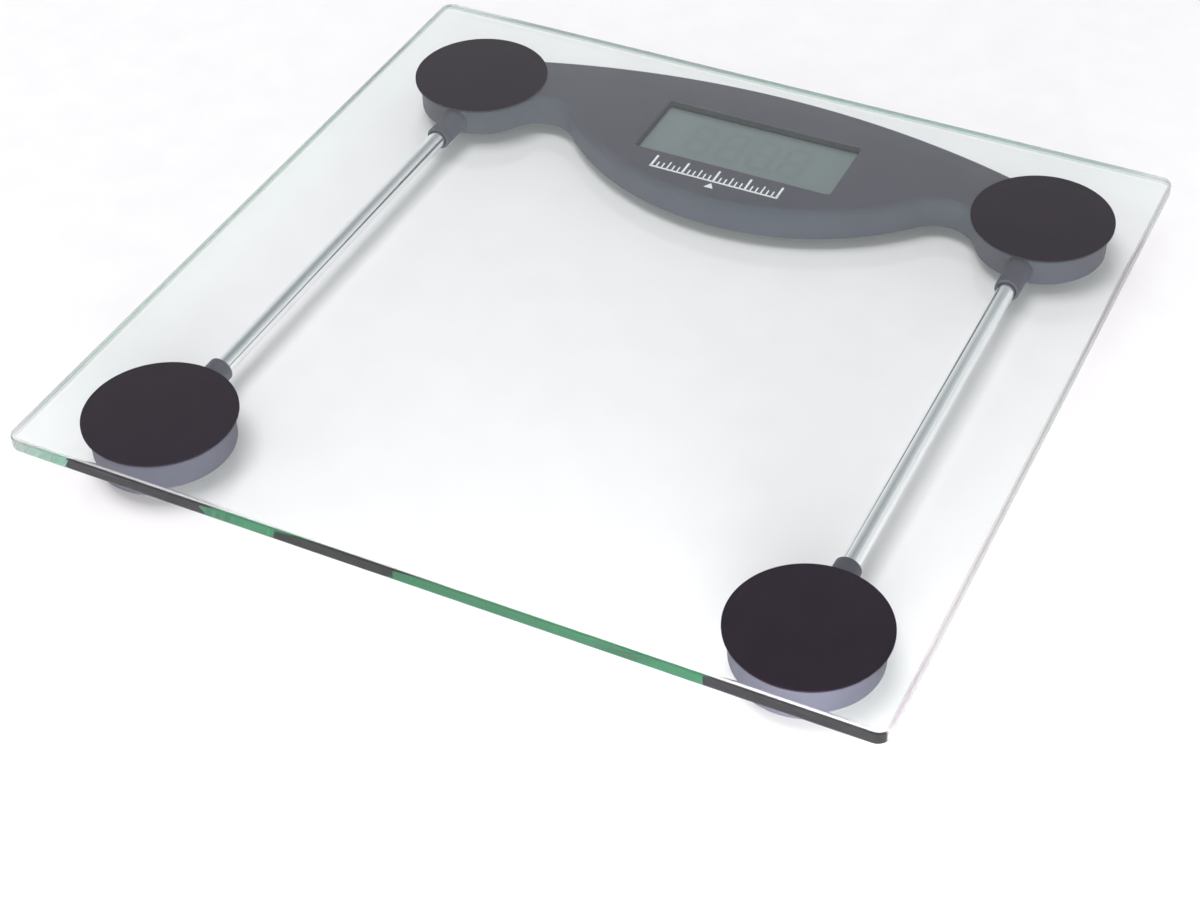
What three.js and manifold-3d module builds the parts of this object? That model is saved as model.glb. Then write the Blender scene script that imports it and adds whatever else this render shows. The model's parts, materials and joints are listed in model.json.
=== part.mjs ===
// Digital bathroom scale: a clear glass platform bonded to four weighing feet.
// The two rear feet share one moulded bridge that carries the display, and a
// polished tube runs from each front foot to the rear foot behind it.
// Millimetres, +Z up. The origin is on the floor under the middle of the glass,
// +X is to the right and +Y is towards the display.

import * as THREE from 'three';
import { mergeVertices } from 'three/addons/utils/BufferGeometryUtils.js';
import Module from 'manifold-3d';

const wasm = await Module();
wasm.setup();

// ---- Driving dimensions ----------------------------------------------------

const PLATE = { width: 302.4, depth: 292.8, thickness: 6, corner: 4.5, edge: 1.4, bottom: 17 };
const DISC = { radius: 25.8, thickness: 0.8 };
const HOUSING_TOP = PLATE.bottom - DISC.thickness;
const RIM = 5;                 // height of the housings' lower rim above the floor
const ROOF = 14;               // height of the underside of the housings' roof
const WALL = 1.8;
const EDGE = 3;                // rounding of the housings' upper edge

const CUP = { radius: 23.8, x: 114.2, rearY: 107.5, frontY: -113.5 };
const SOCKET = {
  radius: 4.5, nose: 1.2, root: 5.1, rootEnd: 2, taperEnd: 6, rearEnd: 70.5, frontEnd: -79.5, bore: 3.5,
  overlap: 1.5,                // the collar starts this far inside the cup's wall
  boreStart: 4,                // the bore starts this far behind the collar's start
};
const TUBE = { radius: 3.2, bore: 2.6, x: 113.7, z: 10, setBack: 0.2 };

const BELLY = { y: 166, radius: 97.5 };       // front of the bridge
const BACK = { y: -176.4, radius: 320 };      // back of the bridge
const NOTCH_RADIUS = 14.5;                    // hollow between the belly and a rear foot
const BAY_HALF = 88.5;                        // the bay inside the bridge ends here in X

const COVER = { thickness: 1.6, inset: 1.1, half: 87.8, fit: 0.3 };
const COVER_TOP = RIM + COVER.thickness;
const COVER_SCREWS = [[81, 117], [34, 81.2], [40, 133]];
const COVER_SCREW = { head: 2.3, headHeight: 1.5, shank: 1.1, seat: 7.2, tip: 12.4, boss: 2.8 };
const COVER_CUP = { radius: 4, bore: 2.7, top: 8.4 };

const WINDOW = { width: 78, depth: 31, corner: 1.5, y: 105.5 };
const LCD = { width: 82, depth: 36, ledge: 3, plate: 1.2, top: 13.8 };
const HOLDER = { gap: 0.3, wall: 2, corner: 1, innerCorner: 0.4 };
const BOARD = { half: 48.4, front: 86, back: 126, corner: 2, bottom: 8.8, thickness: 1 };
const BOARD_TOP = BOARD.bottom + BOARD.thickness;
const BOARD_SCREWS = [[45.7, 92.5], [45.7, 121.5]];
const BOARD_SCREW = { head: 2, headHeight: 1.2, shank: 0.9, tip: 12.8, boss: 2.2 };
const SCREW_PLAY = 0.2;        // between a screw's shank and its hole
const BOSS_GAP = 0.1;          // between a boss and what is screwed to it
const BOSS_ROOT = 0.5;         // a boss runs this far into the roof

const BATTERY = { x: 62.3, y: 116.5, radius: 10, height: 3.2, bottom: 6.7 };
const BATTERY_CAP = { radius: 8.9, step: 9.3, stepHeight: 0.6, canHeight: 0.8, chamfer: 0.3 };
const WELL = { radius: 10.9, halfX: 13, halfY: 15.2, roof: 10.1, top: 10.9, tailHalf: 2.5 };
const LEAF = { radius: 6, thickness: 0.15, gap: 0.02, tailStart: 4, tailEnd: 13, tailHalf: 1.8 };
const STRIP = { inner: 10.25, outer: 10.65, bottom: 0.2, top: 2.8, spread: 60 };
const DOOR = { halfX: 11.3, halfY: 13.5, thickness: 1.3, gap: 0.35, peg: 0.8, pegPlay: 0.05 };
const GRIP = { grooves: 4, first: 2.4, pitch: 1.6, width: 0.8, half: 5, depth: 0.4 };
const DOOR_AXIS = { y: BATTERY.y + DOOR.halfY - DOOR.thickness / 2, z: RIM + DOOR.thickness / 2 };

const BUTTON = {
  x: -38, y: 114, radius: 3.8, chamfer: 0.4, hole: 4.1, flange: 4.8, flangeBottom: 6.7, top: 7.2,
};
const SWITCH = { size: 6, bottom: 7.8, body: 8.2, plunger: 1.7, plungerHeight: 0.6 };
const CHIP = { x: 6, y: 104, radius: 5.2, height: 1.1 };
const ZEBRA = { half: 36, width: 2.2, setBack: 0.3, gap: 0.05 };

const CELL = { size: 27, corner: 3, thickness: 1.6, bottom: 10, slot: 1.5, tongue: 9, reach: 9 };
const CELL_BOSS = { half: 4, front: -5, back: 1 };
const CELL_TOP = CELL.bottom + CELL.thickness;
const GAUGE = { width: 8, length: 5, height: 1, root: 5.5, corner: 1.2 };
const CARRIER = {
  radius: 21.2, wall: 1.5, base: 17, chamfer: 0.6, bottom: 1.5, step: 3.6, slope: 1,
  floor: 4.4, top: 9, post: 2.2, postInset: 3, postRoot: 0.4, postTop: 9.3,
};
const PAD = { radius: 15.5, top: 2.5, rounding: 0.8, gap: 0.02, play: 0.3 };
const LEAD = { radius: 0.9, z: 12.8, drop: 1.4, start: 0.3 };
const LEAD_SLOT = { x: 91.5, half: 5.5, front: 96, back: 111 };   // leads pass from a rear foot into the bay
const AROUND = { x: 160, front: 40, back: 160 };   // a box in which the whole bridge lies
const PAST = 1;                // a cutting solid runs this far past what it cuts

const COLOURS = {
  glass: 0xe4f1ec, disc: 0x2a282d, plastic: 0x6a6c74, chrome: 0xd8dade, steel: 0xa9acb0,
  silicone: 0xe8e8e2, rubber: 0x3a3b3e, screen: 0x80918c, board: 0x1f6b3d, black: 0x16171a,
  brass: 0xc8a24c, lead: 0x77797f,
};

// ---- Shape helpers ---------------------------------------------------------

const degrees = (radians) => radians * 180 / Math.PI;

// Points on an arc, without its last point, so that arcs can be chained.
function arc(x, y, radius, from, to, step = 6) {
  const count = Math.max(1, Math.ceil(Math.abs(to - from) / step));
  return Array.from({ length: count }, (_, i) => {
    const angle = THREE.MathUtils.degToRad(from + (to - from) * i / count);
    return new THREE.Vector2(x + radius * Math.cos(angle), y + radius * Math.sin(angle));
  });
}

function roundedRectangle(x, y, width, depth, corner, step = 15) {
  const dx = width / 2 - corner;
  const dy = depth / 2 - corner;
  return [
    ...arc(x + dx, y + dy, corner, 0, 90, step), new THREE.Vector2(x + dx, y + dy + corner),
    ...arc(x - dx, y + dy, corner, 90, 180, step), new THREE.Vector2(x - dx - corner, y + dy),
    ...arc(x - dx, y - dy, corner, 180, 270, step), new THREE.Vector2(x - dx, y - dy - corner),
    ...arc(x + dx, y - dy, corner, 270, 360, step), new THREE.Vector2(x + dx + corner, y - dy),
  ];
}

function prism(outline, bottom, top, holes = []) {
  const shape = new THREE.Shape(outline);
  shape.holes = holes.map((hole) => new THREE.Path(hole));
  const geometry = new THREE.ExtrudeGeometry(shape, { depth: top - bottom, bevelEnabled: false });
  return geometry.translate(0, 0, bottom);
}

// A prism whose upper and lower edges are both rounded or chamfered.
function softPrism(outline, bottom, top, edge, segments) {
  const geometry = new THREE.ExtrudeGeometry(new THREE.Shape(outline), {
    depth: top - bottom - 2 * edge, bevelEnabled: true, bevelThickness: edge,
    bevelSize: edge, bevelOffset: -edge, bevelSegments: segments,
  });
  return geometry.translate(0, 0, bottom + edge);
}

function box(x0, x1, y0, y1, z0, z1) {
  const geometry = new THREE.BoxGeometry(x1 - x0, y1 - y0, z1 - z0);
  return geometry.translate((x0 + x1) / 2, (y0 + y1) / 2, (z0 + z1) / 2);
}

function cylinder(x, y, radius, bottom, top, sides = 16) {
  const geometry = new THREE.CylinderGeometry(radius, radius, top - bottom, sides);
  return geometry.rotateX(Math.PI / 2).translate(x, y, (bottom + top) / 2);
}

// A cylinder along Y.
function barrel(x, z, radius, front, back, sides = 20) {
  const geometry = new THREE.CylinderGeometry(radius, radius, back - front, sides);
  return geometry.translate(x, (front + back) / 2, z);
}

// A solid of revolution about Z, from [radius, height] pairs.
function turned(profile, sides = 48) {
  const points = profile.map(([radius, height]) => new THREE.Vector2(radius, height));
  return new THREE.LatheGeometry(points, sides).rotateX(Math.PI / 2);
}

function solid(geometry) {
  const bare = geometry.clone();
  bare.deleteAttribute('normal');
  bare.deleteAttribute('uv');
  const merged = mergeVertices(bare, 1e-4);
  return new wasm.Manifold(new wasm.Mesh({
    numProp: 3,
    vertProperties: Float32Array.from(merged.attributes.position.array),
    triVerts: Uint32Array.from(merged.index.array),
  }));
}

function geometryOf(body) {
  const mesh = body.getMesh();
  const geometry = new THREE.BufferGeometry();
  geometry.setAttribute('position', new THREE.BufferAttribute(Float32Array.from(mesh.vertProperties), 3));
  geometry.setIndex(new THREE.BufferAttribute(Uint32Array.from(mesh.triVerts), 1));
  geometry.computeVertexNormals();
  return geometry;
}

const join = (...shapes) => shapes.map(solid).reduce((whole, next) => whole.add(next));
const cut = (body, ...tools) => tools.map(solid).reduce((rest, tool) => rest.subtract(tool), body);

// ---- The scene graph -------------------------------------------------------

const scale = new THREE.Group();

function place(name, geometry, colour, finish, x = 0, y = 0) {
  const material = new THREE.MeshStandardMaterial({ color: COLOURS[colour], ...finish });
  const mesh = new THREE.Mesh(geometry, material);
  mesh.name = name;
  mesh.position.set(x, y, 0);
  scale.add(mesh);
  return mesh;
}

const SATIN = { roughness: 0.55, metalness: 0 };
const MATT = { roughness: 0.85, metalness: 0 };
const POLISHED = { roughness: 0.12, metalness: 1 };
const BRUSHED = { roughness: 0.4, metalness: 1 };
const CLEAR = { roughness: 0.02, metalness: 0, transparent: true, opacity: 0.3 };

const SIDES = [{ side: 'left', sign: -1 }, { side: 'right', sign: 1 }];
const FEET = SIDES.flatMap(({ side, sign }) => [
  { name: `front_${side}`, sign, x: sign * CUP.x, y: CUP.frontY, turn: 0 },
  { name: `rear_${side}`, sign, x: sign * CUP.x, y: CUP.rearY, turn: sign * Math.PI / 2 },
]);

// ---- Platform --------------------------------------------------------------

// A sheet with flat edges and rounded arrises.
function glassPlatform() {
  const outline = roundedRectangle(0, 0, PLATE.width, PLATE.depth, PLATE.corner);
  return softPrism(outline, PLATE.bottom, PLATE.bottom + PLATE.thickness, PLATE.edge, 4);
}

// ---- Housings --------------------------------------------------------------

// Where two circles meet, on the side of the second centre that `sign` picks.
function circlesMeet(a, b, sign) {
  const dx = b.x - a.x;
  const dy = b.y - a.y;
  const gap = Math.hypot(dx, dy);
  const along = (gap * gap + a.radius ** 2 - b.radius ** 2) / (2 * gap);
  const across = sign * Math.sqrt(a.radius ** 2 - along ** 2);
  return { x: a.x + (along * dx - across * dy) / gap, y: a.y + (along * dy + across * dx) / gap };
}

const bearing = (from, to) => degrees(Math.atan2(to.y - from.y, to.x - from.x));

// The bridge seen from above, with both rear feet, drawn in by `inset`.
function bridgeOutline(inset) {
  const belly = { x: 0, y: BELLY.y, radius: BELLY.radius - inset };
  const back = { x: 0, y: BACK.y, radius: BACK.radius - inset };
  const foot = { x: CUP.x, y: CUP.rearY, radius: CUP.radius - inset };
  const notch = circlesMeet(
    { ...belly, radius: BELLY.radius + NOTCH_RADIUS },
    { ...foot, radius: CUP.radius + NOTCH_RADIUS }, -1);
  const corner = circlesMeet(back, foot, 1);
  const half = [
    ...arc(0, belly.y, belly.radius, -90, bearing(belly, notch), 4.6),
    ...arc(notch.x, notch.y, NOTCH_RADIUS + inset, bearing(notch, belly), bearing(notch, foot), 12),
    ...arc(foot.x, foot.y, foot.radius, bearing(foot, notch), bearing(foot, corner), 9),
    ...arc(0, back.y, back.radius, bearing(back, corner), 90, 2.4),
  ];
  const otherHalf = half.slice(1).reverse().map((point) => new THREE.Vector2(-point.x, point.y));
  return [...half, new THREE.Vector2(0, back.y + back.radius), ...otherHalf];
}

// A collar around a connecting tube, from a cup's wall to its rounded nose.
function collar(x, root, end) {
  const away = Math.sign(end - root);
  const length = Math.abs(end - root);
  const nose = arc(SOCKET.radius - SOCKET.nose, length - SOCKET.nose, SOCKET.nose, 0, 90, 30);
  const profile = [[0, 0], [SOCKET.root, 0], [SOCKET.root, SOCKET.rootEnd], [SOCKET.radius, SOCKET.taperEnd],
    ...nose.map((point) => [point.x, point.y]), [SOCKET.radius - SOCKET.nose, length], [0, length]];
  const geometry = turned(profile, 20).rotateX(away > 0 ? -Math.PI / 2 : Math.PI / 2);
  return geometry.translate(x, root, TUBE.z);
}

// The square boss that a load cell's tongue hangs from.
function cellBoss(x, y) {
  return box(x - CELL_BOSS.half, x + CELL_BOSS.half, y + CELL_BOSS.front, y + CELL_BOSS.back,
    CELL_TOP, ROOF + BOSS_ROOT);
}

function frontFootHousing(sign) {
  const tubeX = sign * (TUBE.x - CUP.x);
  const edge = arc(CUP.radius - EDGE, HOUSING_TOP - EDGE, EDGE, 0, 90, 22.5);
  const shell = turned([[0, ROOF], [CUP.radius - WALL, ROOF], [CUP.radius - WALL, RIM], [CUP.radius, RIM],
    ...edge.map((point) => [point.x, point.y]), [CUP.radius - EDGE, HOUSING_TOP], [0, HOUSING_TOP]], 40);
  const root = CUP.radius - SOCKET.overlap;
  const end = SOCKET.frontEnd - CUP.frontY;
  const body = join(shell, collar(tubeX, root, end), cellBoss(0, 0));
  return cut(body, barrel(tubeX, TUBE.z, SOCKET.bore, root - SOCKET.boreStart, end + PAST));
}

// Adds a screw boss that hangs from the roof and ends just above `under`.
function withBoss(body, [x, y], sign, { boss, shank, tip }, under) {
  const pillar = cylinder(sign * x, y, boss, under + BOSS_GAP, ROOF + BOSS_ROOT);
  const hole = cylinder(sign * x, y, shank + SCREW_PLAY, RIM, tip + 2 * SCREW_PLAY, 10);
  return cut(body.add(solid(pillar)), hole);
}

// Everything around the bridge that is nearer to the middle than `half` in X.
function slab(half, bottom, top) {
  return box(-half, half, AROUND.front, AROUND.back, bottom, top);
}

function displayHousing() {
  const outside = softPrism(bridgeOutline(0), RIM - 2 * EDGE, HOUSING_TOP, EDGE, 3);
  const below = slab(AROUND.x, RIM - 3 * EDGE, RIM);
  const inside = solid(prism(bridgeOutline(WALL), RIM - PAST, ROOF));
  const bay = inside.intersect(solid(slab(BAY_HALF, 0, ROOF)));
  const rebate = solid(prism(bridgeOutline(COVER.inset - COVER.fit), RIM - PAST, COVER_TOP + COVER.fit))
    .intersect(solid(slab(BAY_HALF, 0, ROOF)));
  const windowOutline = roundedRectangle(0, WINDOW.y, WINDOW.width, WINDOW.depth, WINDOW.corner, 30);
  let body = cut(solid(outside), below, prism(windowOutline, ROOF - PAST, HOUSING_TOP + PAST));
  body = body.subtract(bay).subtract(rebate);
  for (const { sign } of SIDES) {
    const x = sign * CUP.x;
    const tubeX = sign * TUBE.x;
    const wall = CUP.rearY - CUP.radius + SOCKET.overlap;
    body = cut(body, cylinder(x, CUP.rearY, CUP.radius - WALL, RIM - PAST, ROOF, 40));
    body = body.add(solid(collar(tubeX, wall, SOCKET.rearEnd)));
    body = cut(body, barrel(tubeX, TUBE.z, SOCKET.bore, SOCKET.rearEnd - PAST, wall + SOCKET.boreStart));
    const slot = box(sign * LEAD_SLOT.x - LEAD_SLOT.half, sign * LEAD_SLOT.x + LEAD_SLOT.half,
      LEAD_SLOT.front, LEAD_SLOT.back, LEAD.z - LEAD.drop, ROOF);
    body = body.subtract(solid(slot).intersect(inside));
    const boss = solid(cellBoss(0, 0)).rotate([0, 0, sign * 90]).translate([x, CUP.rearY, 0]);
    body = body.add(boss);
    for (const at of COVER_SCREWS) {
      body = withBoss(body, at, sign, COVER_SCREW, COVER_CUP.top);
    }
    for (const at of BOARD_SCREWS) {
      body = withBoss(body, at, sign, BOARD_SCREW, BOARD_TOP);
    }
  }
  return body;
}

// ---- Underside cover, battery and button -----------------------------------

function undersideCover() {
  const clip = solid(slab(COVER.half, 0, ROOF));
  const plate = solid(prism(bridgeOutline(COVER.inset), RIM, COVER_TOP)).intersect(clip);
  const block = solid(box(BATTERY.x - WELL.halfX, BATTERY.x + WELL.halfX,
    BATTERY.y - WELL.halfY, BATTERY.y + WELL.halfY, COVER_TOP - BOSS_ROOT, WELL.top));
  const inner = solid(prism(bridgeOutline(WALL + COVER.fit), RIM, ROOF)).intersect(clip);
  let body = plate.add(block.intersect(inner));
  body = cut(body, cylinder(BATTERY.x, BATTERY.y, WELL.radius, RIM, WELL.roof, 40));
  const halfX = DOOR.halfX + DOOR.gap;
  const halfY = DOOR.halfY + DOOR.gap;
  body = cut(body, box(BATTERY.x - halfX, BATTERY.x + halfX, BATTERY.y - halfY, BATTERY.y + halfY,
    RIM - PAST, COVER_TOP));
  body = body.subtract(pegRod(halfX + DOOR.peg, DOOR.thickness / 2 + 4 * DOOR.pegPlay));
  body = cut(body, box(BATTERY.x - WELL.halfX - PAST, BATTERY.x - WELL.radius + PAST,
    BATTERY.y - WELL.tailHalf, BATTERY.y + WELL.tailHalf, BATTERY.bottom, WELL.roof));
  body = cut(body, cylinder(BUTTON.x, BUTTON.y, BUTTON.hole, RIM - PAST, COVER_TOP + PAST, 32));
  for (const { sign } of SIDES) {
    for (const [x, y] of COVER_SCREWS) {
      body = body.add(solid(cylinder(sign * x, y, COVER_CUP.radius, RIM, COVER_CUP.top)));
      body = cut(body, cylinder(sign * x, y, COVER_CUP.bore, RIM - PAST, COVER_SCREW.seat));
      body = cut(body, cylinder(sign * x, y, COVER_SCREW.shank + SCREW_PLAY, RIM, COVER_CUP.top + PAST, 12));
    }
  }
  return body;
}

// A rod along the battery door's hinge line.
function pegRod(half, radius) {
  const rod = new THREE.CylinderGeometry(radius, radius, 2 * half, 20).rotateZ(Math.PI / 2);
  return solid(rod.translate(BATTERY.x, DOOR_AXIS.y, DOOR_AXIS.z));
}

function batteryDoor() {
  const front = BATTERY.y - DOOR.halfY;
  const plate = box(BATTERY.x - DOOR.halfX, BATTERY.x + DOOR.halfX, front, DOOR_AXIS.y,
    RIM, RIM + DOOR.thickness);
  let body = solid(plate).add(pegRod(DOOR.halfX, DOOR.thickness / 2));
  body = body.add(pegRod(DOOR.halfX + DOOR.peg, DOOR.thickness / 2 - DOOR.pegPlay));
  const grooves = Array.from({ length: GRIP.grooves }, (_, i) => {
    const y = front + GRIP.first + GRIP.pitch * i;
    return box(BATTERY.x - GRIP.half, BATTERY.x + GRIP.half, y, y + GRIP.width, RIM - PAST, RIM + GRIP.depth);
  });
  return cut(body, ...grooves);
}

function coinCell() {
  const { radius, bottom } = BATTERY;
  const { chamfer, canHeight, step, stepHeight } = BATTERY_CAP;
  const top = bottom + BATTERY.height;
  return turned([[0, bottom], [radius - chamfer, bottom], [radius, bottom + chamfer], [radius, top - canHeight],
    [step, top - stepHeight], [BATTERY_CAP.radius, top], [0, top]], 32);
}

// A flat leaf above the cell, with a tail through the slot towards the board.
function negativeContact() {
  const bottom = BATTERY.bottom + BATTERY.height + LEAF.gap;
  const top = bottom + LEAF.thickness;
  const leaf = cylinder(BATTERY.x, BATTERY.y, LEAF.radius, bottom, top, 20);
  const tail = box(BATTERY.x - LEAF.tailEnd, BATTERY.x - LEAF.tailStart,
    BATTERY.y - LEAF.tailHalf, BATTERY.y + LEAF.tailHalf, bottom, top);
  return join(leaf, tail);
}

// A curved strip between the well's wall and the rim of the cell.
function positiveContact() {
  const sweep = (radius, from, to) => [
    ...arc(BATTERY.x, BATTERY.y, radius, from, to, 12), ...arc(BATTERY.x, BATTERY.y, radius, to, to),
  ];
  const { outer, inner, spread } = STRIP;
  const outline = [...sweep(outer, -spread, spread), ...sweep(inner, spread, -spread)];
  return prism(outline, BATTERY.bottom + STRIP.bottom, BATTERY.bottom + STRIP.top);
}

function unitButton() {
  const cap = turned([[0, RIM], [BUTTON.radius - BUTTON.chamfer, RIM], [BUTTON.radius, RIM + BUTTON.chamfer],
    [BUTTON.radius, BUTTON.flangeBottom], [BUTTON.flange, BUTTON.flangeBottom],
    [BUTTON.flange, BUTTON.top], [0, BUTTON.top]], 32);
  return cap.translate(BUTTON.x, BUTTON.y, 0);
}

// ---- Display and electronics -----------------------------------------------

function lcdPanel() {
  const front = WINDOW.y - LCD.depth / 2;
  const back = WINDOW.y + LCD.depth / 2;
  const seam = LCD.top - LCD.plate;
  return join(box(-LCD.width / 2, LCD.width / 2, front, back, seam, LCD.top),
    box(-LCD.width / 2, LCD.width / 2, front + LCD.ledge, back, seam - LCD.plate, seam));
}

function lcdHolder() {
  const width = LCD.width + 2 * HOLDER.gap;
  const depth = LCD.depth + 2 * HOLDER.gap;
  const { wall, corner } = HOLDER;
  const outer = roundedRectangle(0, WINDOW.y, width + 2 * wall, depth + 2 * wall, corner, 45);
  const inner = roundedRectangle(0, WINDOW.y, width, depth, HOLDER.innerCorner, 45);
  return prism(outer, BOARD_TOP + BOSS_GAP, ROOF - BOSS_GAP, [inner]);
}

function circuitBoard() {
  const holes = SIDES.flatMap(({ sign }) => BOARD_SCREWS.map(([x, y]) =>
    arc(sign * x, y, BOARD_SCREW.shank + SCREW_PLAY, 0, 360, 24)));
  const y = (BOARD.front + BOARD.back) / 2;
  const outline = roundedRectangle(0, y, 2 * BOARD.half, BOARD.back - BOARD.front, BOARD.corner, 30);
  return prism(outline, BOARD.bottom, BOARD_TOP, holes);
}

function zebraStrip() {
  const front = WINDOW.y - LCD.depth / 2 + ZEBRA.setBack;
  return box(-ZEBRA.half, ZEBRA.half, front, front + ZEBRA.width,
    BOARD_TOP + ZEBRA.gap, LCD.top - LCD.plate - ZEBRA.gap);
}

function chipBlob() {
  const dome = arc(0, 0, 1, -90, 0, 22.5)
    .map((point) => [CHIP.radius * point.x, BOARD.bottom + CHIP.height * point.y]);
  return turned([...dome, [CHIP.radius, BOARD.bottom], [0, BOARD.bottom]], 28).translate(CHIP.x, CHIP.y, 0);
}

function unitSwitch() {
  const half = SWITCH.size / 2;
  return join(
    box(BUTTON.x - half, BUTTON.x + half, BUTTON.y - half, BUTTON.y + half, SWITCH.body, BOARD.bottom),
    cylinder(BUTTON.x, BUTTON.y, SWITCH.plunger, SWITCH.bottom, SWITCH.bottom + SWITCH.plungerHeight, 20));
}

// A pan-head screw, driven upwards.
function screw({ head, headHeight, shank, tip }, seat) {
  const bottom = seat - headHeight;
  return turned([[0, bottom], [head - 0.5, bottom], [head, bottom + 0.5], [head, seat],
    [shank, seat], [shank, tip - 1], [0.2, tip], [0, tip]], 12);
}

// ---- Feet ------------------------------------------------------------------

// A stamped square with a U-shaped slot that leaves a bending tongue.
function loadCell() {
  const outline = roundedRectangle(0, 0, CELL.size, CELL.size, CELL.corner, 30);
  const inside = CELL.tongue / 2;
  const outside = inside + CELL.slot;
  const { reach } = CELL;
  const tip = CELL.slot - reach;
  const slot = [[-outside, reach], [-outside, -reach], [outside, -reach], [outside, reach], [inside, reach],
    [inside, tip], [-inside, tip], [-inside, reach]];
  const hole = slot.map(([x, y]) => new THREE.Vector2(x, y));
  return prism(outline, CELL.bottom, CELL_TOP, [hole]);
}

function strainGauge() {
  const y = GAUGE.root + GAUGE.length / 2;
  const outline = roundedRectangle(0, y, GAUGE.width, GAUGE.length, GAUGE.corner, 30);
  return prism(outline, CELL_TOP, CELL_TOP + GAUGE.height);
}

// A round foot: a stepped dish with four posts under the corners of the load cell.
function footCarrier() {
  const { radius, base, chamfer, bottom, step, slope, floor, top } = CARRIER;
  const seat = PAD.radius + PAD.play;
  const inner = radius - CARRIER.wall;
  const dish = turned([[0, PAD.top], [seat, PAD.top], [seat, bottom], [base - chamfer, bottom],
    [base, bottom + chamfer], [base, step], [radius - slope, step], [radius, step + slope], [radius, top],
    [inner, top], [inner, floor + slope], [inner - slope, floor], [0, floor]], 30);
  const at = CELL.size / 2 - CARRIER.postInset;
  const posts = [[1, 1], [1, -1], [-1, 1], [-1, -1]].map(([x, y]) =>
    cylinder(x * at, y * at, CARRIER.post, floor - CARRIER.postRoot, CARRIER.postTop, 10));
  return join(dish, ...posts);
}

function footPad() {
  const edge = arc(PAD.radius - PAD.rounding, PAD.rounding, PAD.rounding, -90, 0, 30);
  return turned([[0, 0], ...edge.map((point) => [point.x, point.y]),
    [PAD.radius, PAD.rounding], [PAD.radius, PAD.top - PAD.gap], [0, PAD.top - PAD.gap]], 30);
}

// ---- Load cell leads -------------------------------------------------------

function leadAlong(route, steps) {
  const section = new THREE.Shape(arc(0, 0, LEAD.radius, 0, 360, 60));
  const points = route.map((point) => new THREE.Vector3(...point));
  const path = new THREE.CatmullRomCurve3(points, false, 'centripetal');
  return new THREE.ExtrudeGeometry(section, { steps, extrudePath: path, bevelEnabled: false });
}

const BOARD_PAD = { x: 45.2, z: BOARD_TOP + LEAD.radius + 0.1 };

function rearLead(sign) {
  const y = CUP.rearY;
  const start = CUP.x - GAUGE.root - GAUGE.length - LEAD.start;
  return leadAlong([[sign * start, y, LEAD.z], [sign * 92, y + 1.2, LEAD.z], [sign * 75, y + 1.4, LEAD.z],
    [sign * 57, y + 0.5, LEAD.z], [sign * 52, y, 12.7], [sign * BOARD_PAD.x, y, BOARD_PAD.z]], 20);
}

function frontLead(sign) {
  const start = CUP.frontY + GAUGE.root + GAUGE.length + LEAD.start;
  const mouth = CUP.frontY + CUP.radius - WALL;
  const exit = CUP.rearY - CUP.radius + WALL;
  const x = sign * TUBE.x;
  return leadAlong([[sign * CUP.x, start, LEAD.z], [sign * CUP.x, start + 5, LEAD.z - 0.3],
    [x, mouth, 10.8], [x, mouth + 8, TUBE.z], [x, 0, TUBE.z], [x, exit - 6, TUBE.z], [x, exit, 10.8],
    [sign * 111, 89.6, LEAD.z - 0.2], [sign * 104, 90.6, LEAD.z], [sign * 98.6, 94.6, LEAD.z],
    [sign * 95.3, 99.4, LEAD.z], [sign * 91.2, 103.2, LEAD.z], [sign * 84, 105.8, LEAD.z],
    [sign * 74, 105.6, LEAD.z], [sign * 57, 104.6, LEAD.z], [sign * 52, 104, 12.7],
    [sign * BOARD_PAD.x, 103.5, BOARD_PAD.z]], 60);
}

function connectingTube() {
  const front = CUP.frontY + CUP.radius - WALL + TUBE.setBack;
  const back = CUP.rearY - CUP.radius + WALL - TUBE.setBack;
  return cut(solid(barrel(0, TUBE.z, TUBE.radius, front, back, 32)),
    barrel(0, TUBE.z, TUBE.bore, front - PAST, back + PAST, 20));
}

// ---- Assembly --------------------------------------------------------------

place('glass_platform', glassPlatform(), 'glass', CLEAR);
place('display_housing', geometryOf(displayHousing()), 'plastic', SATIN);
place('underside_cover', geometryOf(undersideCover()), 'plastic', MATT);
place('battery_door', geometryOf(batteryDoor()), 'plastic', MATT);
place('battery_cell', coinCell(), 'steel', BRUSHED, BATTERY.x, BATTERY.y);
place('battery_contact_negative', geometryOf(negativeContact()), 'brass', BRUSHED);
place('battery_contact_positive', positiveContact(), 'brass', BRUSHED);
place('unit_button', unitButton(), 'black', SATIN);
place('unit_switch', geometryOf(unitSwitch()), 'black', SATIN);
place('lcd_panel', geometryOf(lcdPanel()), 'screen', { roughness: 0.3, metalness: 0 });
place('lcd_holder', lcdHolder(), 'black', MATT);
place('zebra_strip', zebraStrip(), 'rubber', MATT);
place('circuit_board', circuitBoard(), 'board', SATIN);
place('chip_blob', chipBlob(), 'black', { roughness: 0.3, metalness: 0 });

for (const { side, sign } of SIDES) {
  place(`front_foot_housing_${side}`, geometryOf(frontFootHousing(sign)), 'plastic', SATIN,
    sign * CUP.x, CUP.frontY);
  place(`connecting_tube_${side}`, geometryOf(connectingTube()), 'chrome', POLISHED, sign * TUBE.x);
  place(`load_cell_lead_front_${side}`, frontLead(sign), 'lead', MATT);
  place(`load_cell_lead_rear_${side}`, rearLead(sign), 'lead', MATT);
  COVER_SCREWS.forEach(([x, y], i) => {
    place(`cover_screw_${side}_${i + 1}`, screw(COVER_SCREW, COVER_SCREW.seat), 'steel', BRUSHED,
      sign * x, y);
  });
  BOARD_SCREWS.forEach(([x, y], i) => {
    place(`board_screw_${side}_${i + 1}`, screw(BOARD_SCREW, BOARD.bottom), 'steel', BRUSHED,
      sign * x, y);
  });
}

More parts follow.
